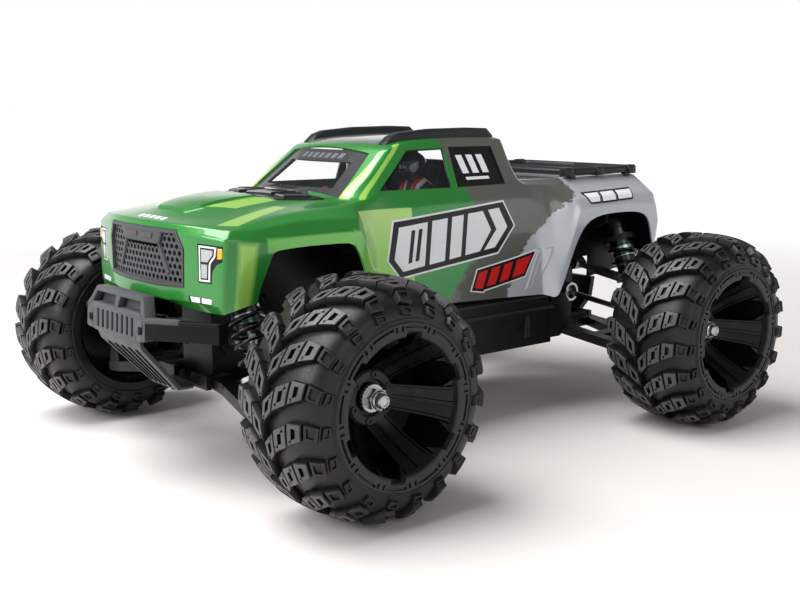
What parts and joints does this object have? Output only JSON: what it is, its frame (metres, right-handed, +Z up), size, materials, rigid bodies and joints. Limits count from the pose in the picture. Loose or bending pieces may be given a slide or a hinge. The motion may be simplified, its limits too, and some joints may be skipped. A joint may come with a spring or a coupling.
{
  "type": "radio-controlled monster truck",
  "caption": "Four-wheel-drive radio-controlled monster truck with a pickup body, long-travel suspension, steering and large treaded tyres.",
  "frame": {"origin": "on the ground, under the centre between the four wheels", "axes": "+X forwards along the truck, +Y to its left along the axles, +Z up"},
  "size_m": [0.425, 0.353, 0.2015],
  "materials": {
    "chassis_plastic": "moulded black nylon",
    "bumper_plastic": "moulded dark grey nylon, fine texture",
    "arm_plastic": "moulded black nylon, satin",
    "battery_wrap": "shrink wrap",
    "motor_can": "black coated can",
    "electronics_plastic": "fine texture",
    "body_paint": "polycarbonate shell, metallic green and grey paint under gloss",
    "window_clear": "clear tinted polycarbonate",
    "grille_plastic": "satin",
    "cockpit_plastic": "vacuum-formed black sheet",
    "rack_plastic": "satin",
    "gear_plastic": "moulded nylon gear on a steel shaft",
    "steel": "turned steel",
    "shock_metal": "dark anodised",
    "spring_steel": "black coated spring wire",
    "wheel_plastic": "satin black nylon",
    "tyre_rubber": "black rubber"
  },
  "bodies": {
    "chassis": {"chassis_tub": "chassis_plastic", "front_bumper": "bumper_plastic", "front_gearbox": "chassis_plastic", "rear_gearbox": "chassis_plastic", "front_shock_tower": "chassis_plastic", "rear_shock_tower": "chassis_plastic", "battery": "battery_wrap", "motor": "motor_can", "receiver_speed_control": "electronics_plastic", "steering_servo": "electronics_plastic"},
    "body": {"body_shell": "body_paint", "windows": "window_clear", "grille": "grille_plastic", "cockpit": "cockpit_plastic", "bed_rack": "rack_plastic"},
    "spur": {"spur_gear": "gear_plastic"},
    "pinion": {"pinion_gear": "steel"},
    "front_outputs": {"front_diff_outputs": "steel"},
    "rear_outputs": {"rear_diff_outputs": "steel"},
    "saver": {"servo_saver": "arm_plastic"},
    "arm_front_left": {"lower_arm_front_left": "arm_plastic"},
    "carrier_front_left": {"caster_block_left": "arm_plastic"},
    "link_front_left": {"upper_link_front_left": "steel"},
    "half_shaft_front_left": {"half_shaft_front_left": "steel"},
    "shock_body_front_left": {"shock_body_front_left": "shock_metal", "shock_spring_front_left": "spring_steel"},
    "shock_shaft_front_left": {"shock_shaft_front_left": "steel"},
    "wheel_front_left": {"wheel_front_left": "wheel_plastic", "tyre_front_left": "tyre_rubber"},
    "knuckle_left": {"steering_knuckle_left": "arm_plastic"},
    "tie_rod_left": {"tie_rod_left": "steel"},
    "arm_front_right": {"lower_arm_front_right": "arm_plastic"},
    "carrier_front_right": {"caster_block_right": "arm_plastic"},
    "link_front_right": {"upper_link_front_right": "steel"},
    "half_shaft_front_right": {"half_shaft_front_right": "steel"},
    "shock_body_front_right": {"shock_body_front_right": "shock_metal", "shock_spring_front_right": "spring_steel"},
    "shock_shaft_front_right": {"shock_shaft_front_right": "steel"},
    "wheel_front_right": {"wheel_front_right": "wheel_plastic", "tyre_front_right": "tyre_rubber"},
    "knuckle_right": {"steering_knuckle_right": "arm_plastic"},
    "tie_rod_right": {"tie_rod_right": "steel"},
    "arm_rear_left": {"lower_arm_rear_left": "arm_plastic"},
    "carrier_rear_left": {"hub_carrier_rear_left": "arm_plastic"},
    "link_rear_left": {"upper_link_rear_left": "steel"},
    "half_shaft_rear_left": {"half_shaft_rear_left": "steel"},
    "shock_body_rear_left": {"shock_body_rear_left": "shock_metal", "shock_spring_rear_left": "spring_steel"},
    "shock_shaft_rear_left": {"shock_shaft_rear_left": "steel"},
    "wheel_rear_left": {"wheel_rear_left": "wheel_plastic", "tyre_rear_left": "tyre_rubber"},
    "arm_rear_right": {"lower_arm_rear_right": "arm_plastic"},
    "carrier_rear_right": {"hub_carrier_rear_right": "arm_plastic"},
    "link_rear_right": {"upper_link_rear_right": "steel"},
    "half_shaft_rear_right": {"half_shaft_rear_right": "steel"},
    "shock_body_rear_right": {"shock_body_rear_right": "shock_metal", "shock_spring_rear_right": "spring_steel"},
    "shock_shaft_rear_right": {"shock_shaft_rear_right": "steel"},
    "wheel_rear_right": {"wheel_rear_right": "wheel_plastic", "tyre_rear_right": "tyre_rubber"}
  },
  "joints": [
    {"name": "body_lift", "type": "slide", "parent": "chassis", "child": "body", "axis": [0, 0, 1], "range_m": [0, 0.12]},
    {"name": "suspension_front_left", "type": "hinge", "parent": "chassis", "child": "arm_front_left", "pos_m": [0.145, 0.024, 0.054], "axis": [1, 0, 0], "range_deg": [-10, 16], "stiffness_Nm_per_rad": 3.4, "springref_deg": -9.74},
    {"name": "carrier_swing_front_left", "type": "hinge", "parent": "arm_front_left", "child": "carrier_front_left", "pos_m": [0.145, 0.108, 0.043], "axis": [1, 0, 0], "range_deg": [-16, 10]},
    {"name": "link_swing_front_left", "type": "hinge", "parent": "chassis", "child": "link_front_left", "pos_m": [0.145, 0.034, 0.0985], "axis": [1, 0, 0], "range_deg": [-12.2, 19.5]},
    {"name": "half_shaft_swing_front_left", "type": "hinge", "parent": "chassis", "child": "half_shaft_front_left", "pos_m": [0.145, 0.026, 0.076], "axis": [1, 0, 0], "range_deg": [-9.5, 15]},
    {"name": "shock_swing_front_left", "type": "hinge", "parent": "chassis", "child": "shock_body_front_left", "pos_m": [0.167, 0.048, 0.136], "axis": [1, 0, 0], "range_deg": [-3, 4.5]},
    {"name": "shock_stroke_front_left", "type": "slide", "parent": "shock_body_front_left", "child": "shock_shaft_front_left", "axis": [0, -0.4061, 0.9138], "range_m": [-0.0105, 0.0165], "deforming": ["shock_spring_front_left"]},
    {"name": "steering_left", "type": "hinge", "parent": "carrier_front_left", "child": "knuckle_left", "pos_m": [0.145, 0.118, 0.065], "axis": [0, 0, 1], "range_deg": [-25, 25]},
    {"name": "tie_rod_shift_left", "type": "slide", "parent": "half_shaft_front_left", "child": "tie_rod_left", "axis": [0, 1, 0], "range_m": [-0.0105, 0.0105]},
    {"name": "wheel_spin_front_left", "type": "hinge", "parent": "knuckle_left", "child": "wheel_front_left", "pos_m": [0.145, 0.143, 0.065], "axis": [0, 1, 0], "continuous": true},
    {"name": "suspension_front_right", "type": "hinge", "parent": "chassis", "child": "arm_front_right", "pos_m": [0.145, -0.024, 0.054], "axis": [-1, 0, 0], "range_deg": [-10, 16], "stiffness_Nm_per_rad": 3.4, "springref_deg": -9.74},
    {"name": "carrier_swing_front_right", "type": "hinge", "parent": "arm_front_right", "child": "carrier_front_right", "pos_m": [0.145, -0.108, 0.043], "axis": [-1, 0, 0], "range_deg": [-16, 10]},
    {"name": "link_swing_front_right", "type": "hinge", "parent": "chassis", "child": "link_front_right", "pos_m": [0.145, -0.034, 0.0985], "axis": [-1, 0, 0], "range_deg": [-12.2, 19.5]},
    {"name": "half_shaft_swing_front_right", "type": "hinge", "parent": "chassis", "child": "half_shaft_front_right", "pos_m": [0.145, -0.026, 0.076], "axis": [-1, 0, 0], "range_deg": [-9.5, 15]},
    {"name": "shock_swing_front_right", "type": "hinge", "parent": "chassis", "child": "shock_body_front_right", "pos_m": [0.167, -0.048, 0.136], "axis": [-1, 0, 0], "range_deg": [-3, 4.5]},
    {"name": "shock_stroke_front_right", "type": "slide", "parent": "shock_body_front_right", "child": "shock_shaft_front_right", "axis": [0, 0.4061, 0.9138], "range_m": [-0.0105, 0.0165], "deforming": ["shock_spring_front_right"]},
    {"name": "steering_right", "type": "hinge", "parent": "carrier_front_right", "child": "knuckle_right", "pos_m": [0.145, -0.118, 0.065], "axis": [0, 0, 1], "range_deg": [-25, 25]},
    {"name": "tie_rod_shift_right", "type": "slide", "parent": "half_shaft_front_right", "child": "tie_rod_right", "axis": [0, 1, 0], "range_m": [-0.0105, 0.0105]},
    {"name": "wheel_spin_front_right", "type": "hinge", "parent": "knuckle_right", "child": "wheel_front_right", "pos_m": [0.145, -0.143, 0.065], "axis": [0, 1, 0], "continuous": true},
    {"name": "suspension_rear_left", "type": "hinge", "parent": "chassis", "child": "arm_rear_left", "pos_m": [-0.145, 0.024, 0.054], "axis": [1, 0, 0], "range_deg": [-10, 16], "stiffness_Nm_per_rad": 3.4, "springref_deg": -9.74},
    {"name": "carrier_swing_rear_left", "type": "hinge", "parent": "arm_rear_left", "child": "carrier_rear_left", "pos_m": [-0.145, 0.108, 0.043], "axis": [1, 0, 0], "range_deg": [-16, 10]},
    {"name": "link_swing_rear_left", "type": "hinge", "parent": "chassis", "child": "link_rear_left", "pos_m": [-0.145, 0.034, 0.0985], "axis": [1, 0, 0], "range_deg": [-12.2, 19.5]},
    {"name": "half_shaft_swing_rear_left", "type": "hinge", "parent": "chassis", "child": "half_shaft_rear_left", "pos_m": [-0.145, 0.026, 0.076], "axis": [1, 0, 0], "range_deg": [-9.5, 15]},
    {"name": "shock_swing_rear_left", "type": "hinge", "parent": "chassis", "child": "shock_body_rear_left", "pos_m": [-0.167, 0.048, 0.136], "axis": [1, 0, 0], "range_deg": [-3, 4.5]},
    {"name": "shock_stroke_rear_left", "type": "slide", "parent": "shock_body_rear_left", "child": "shock_shaft_rear_left", "axis": [0, -0.4061, 0.9138], "range_m": [-0.0105, 0.0165], "deforming": ["shock_spring_rear_left"]},
    {"name": "wheel_spin_rear_left", "type": "hinge", "parent": "carrier_rear_left", "child": "wheel_rear_left", "pos_m": [-0.145, 0.143, 0.065], "axis": [0, 1, 0], "continuous": true},
    {"name": "suspension_rear_right", "type": "hinge", "parent": "chassis", "child": "arm_rear_right", "pos_m": [-0.145, -0.024, 0.054], "axis": [-1, 0, 0], "range_deg": [-10, 16], "stiffness_Nm_per_rad": 3.4, "springref_deg": -9.74},
    {"name": "carrier_swing_rear_right", "type": "hinge", "parent": "arm_rear_right", "child": "carrier_rear_right", "pos_m": [-0.145, -0.108, 0.043], "axis": [-1, 0, 0], "range_deg": [-16, 10]},
    {"name": "link_swing_rear_right", "type": "hinge", "parent": "chassis", "child": "link_rear_right", "pos_m": [-0.145, -0.034, 0.0985], "axis": [-1, 0, 0], "range_deg": [-12.2, 19.5]},
    {"name": "half_shaft_swing_rear_right", "type": "hinge", "parent": "chassis", "child": "half_shaft_rear_right", "pos_m": [-0.145, -0.026, 0.076], "axis": [-1, 0, 0], "range_deg": [-9.5, 15]},
    {"name": "shock_swing_rear_right", "type": "hinge", "parent": "chassis", "child": "shock_body_rear_right", "pos_m": [-0.167, -0.048, 0.136], "axis": [-1, 0, 0], "range_deg": [-3, 4.5]},
    {"name": "shock_stroke_rear_right", "type": "slide", "parent": "shock_body_rear_right", "child": "shock_shaft_rear_right", "axis": [0, 0.4061, 0.9138], "range_m": [-0.0105, 0.0165], "deforming": ["shock_spring_rear_right"]},
    {"name": "wheel_spin_rear_right", "type": "hinge", "parent": "carrier_rear_right", "child": "wheel_rear_right", "pos_m": [-0.145, -0.143, 0.065], "axis": [0, 1, 0], "continuous": true},
    {"name": "servo_turn", "type": "hinge", "parent": "chassis", "child": "saver", "pos_m": [0.097, 0, 0.083], "axis": [0, 0, 1], "range_deg": [-26, 26]},
    {"name": "spur_spin", "type": "hinge", "parent": "chassis", "child": "spur", "pos_m": [-0.0725, 0, 0.076], "axis": [1, 0, 0], "continuous": true},
    {"name": "pinion_spin", "type": "hinge", "parent": "chassis", "child": "pinion", "pos_m": [-0.0725, 0.02723, 0.0715], "axis": [1, 0, 0], "continuous": true},
    {"name": "front_outputs_spin", "type": "hinge", "parent": "chassis", "child": "front_outputs", "pos_m": [0.145, 0, 0.076], "axis": [0, 1, 0], "continuous": true},
    {"name": "rear_outputs_spin", "type": "hinge", "parent": "chassis", "child": "rear_outputs", "pos_m": [-0.145, 0, 0.076], "axis": [0, 1, 0], "continuous": true}
  ],
  "couplings": [
    {"joint": "carrier_swing_front_left", "follows": "suspension_front_left", "ratio": -1},
    {"joint": "link_swing_front_left", "follows": "suspension_front_left", "ratio": 1.195},
    {"joint": "half_shaft_swing_front_left", "follows": "suspension_front_left", "ratio": 0.9145},
    {"joint": "shock_swing_front_left", "follows": "suspension_front_left", "ratio": 0.24},
    {"joint": "shock_stroke_front_left", "follows": "suspension_front_left", "m_per_rad": 0.0555},
    {"joint": "tie_rod_shift_left", "follows": "steering_left", "m_per_rad": -0.02325},
    {"joint": "carrier_swing_front_right", "follows": "suspension_front_right", "ratio": -1},
    {"joint": "link_swing_front_right", "follows": "suspension_front_right", "ratio": 1.195},
    {"joint": "half_shaft_swing_front_right", "follows": "suspension_front_right", "ratio": 0.9145},
    {"joint": "shock_swing_front_right", "follows": "suspension_front_right", "ratio": 0.24},
    {"joint": "shock_stroke_front_right", "follows": "suspension_front_right", "m_per_rad": 0.0555},
    {"joint": "steering_right", "follows": "steering_left", "ratio": 1},
    {"joint": "tie_rod_shift_right", "follows": "steering_left", "m_per_rad": -0.02325},
    {"joint": "wheel_spin_front_right", "follows": "wheel_spin_front_left", "ratio": 1},
    {"joint": "carrier_swing_rear_left", "follows": "suspension_rear_left", "ratio": -1},
    {"joint": "link_swing_rear_left", "follows": "suspension_rear_left", "ratio": 1.195},
    {"joint": "half_shaft_swing_rear_left", "follows": "suspension_rear_left", "ratio": 0.9145},
    {"joint": "shock_swing_rear_left", "follows": "suspension_rear_left", "ratio": 0.24},
    {"joint": "shock_stroke_rear_left", "follows": "suspension_rear_left", "m_per_rad": 0.0555},
    {"joint": "wheel_spin_rear_left", "follows": "wheel_spin_front_left", "ratio": 1},
    {"joint": "carrier_swing_rear_right", "follows": "suspension_rear_right", "ratio": -1},
    {"joint": "link_swing_rear_right", "follows": "suspension_rear_right", "ratio": 1.195},
    {"joint": "half_shaft_swing_rear_right", "follows": "suspension_rear_right", "ratio": 0.9145},
    {"joint": "shock_swing_rear_right", "follows": "suspension_rear_right", "ratio": 0.24},
    {"joint": "shock_stroke_rear_right", "follows": "suspension_rear_right", "m_per_rad": 0.0555},
    {"joint": "wheel_spin_rear_right", "follows": "wheel_spin_front_left", "ratio": 1},
    {"joint": "servo_turn", "follows": "steering_left", "ratio": -1},
    {"joint": "spur_spin", "follows": "wheel_spin_front_left", "ratio": 3},
    {"joint": "pinion_spin", "follows": "wheel_spin_front_left", "ratio": -10.8},
    {"joint": "front_outputs_spin", "follows": "wheel_spin_front_left", "ratio": 1},
    {"joint": "rear_outputs_spin", "follows": "wheel_spin_front_left", "ratio": 1}
  ]
}
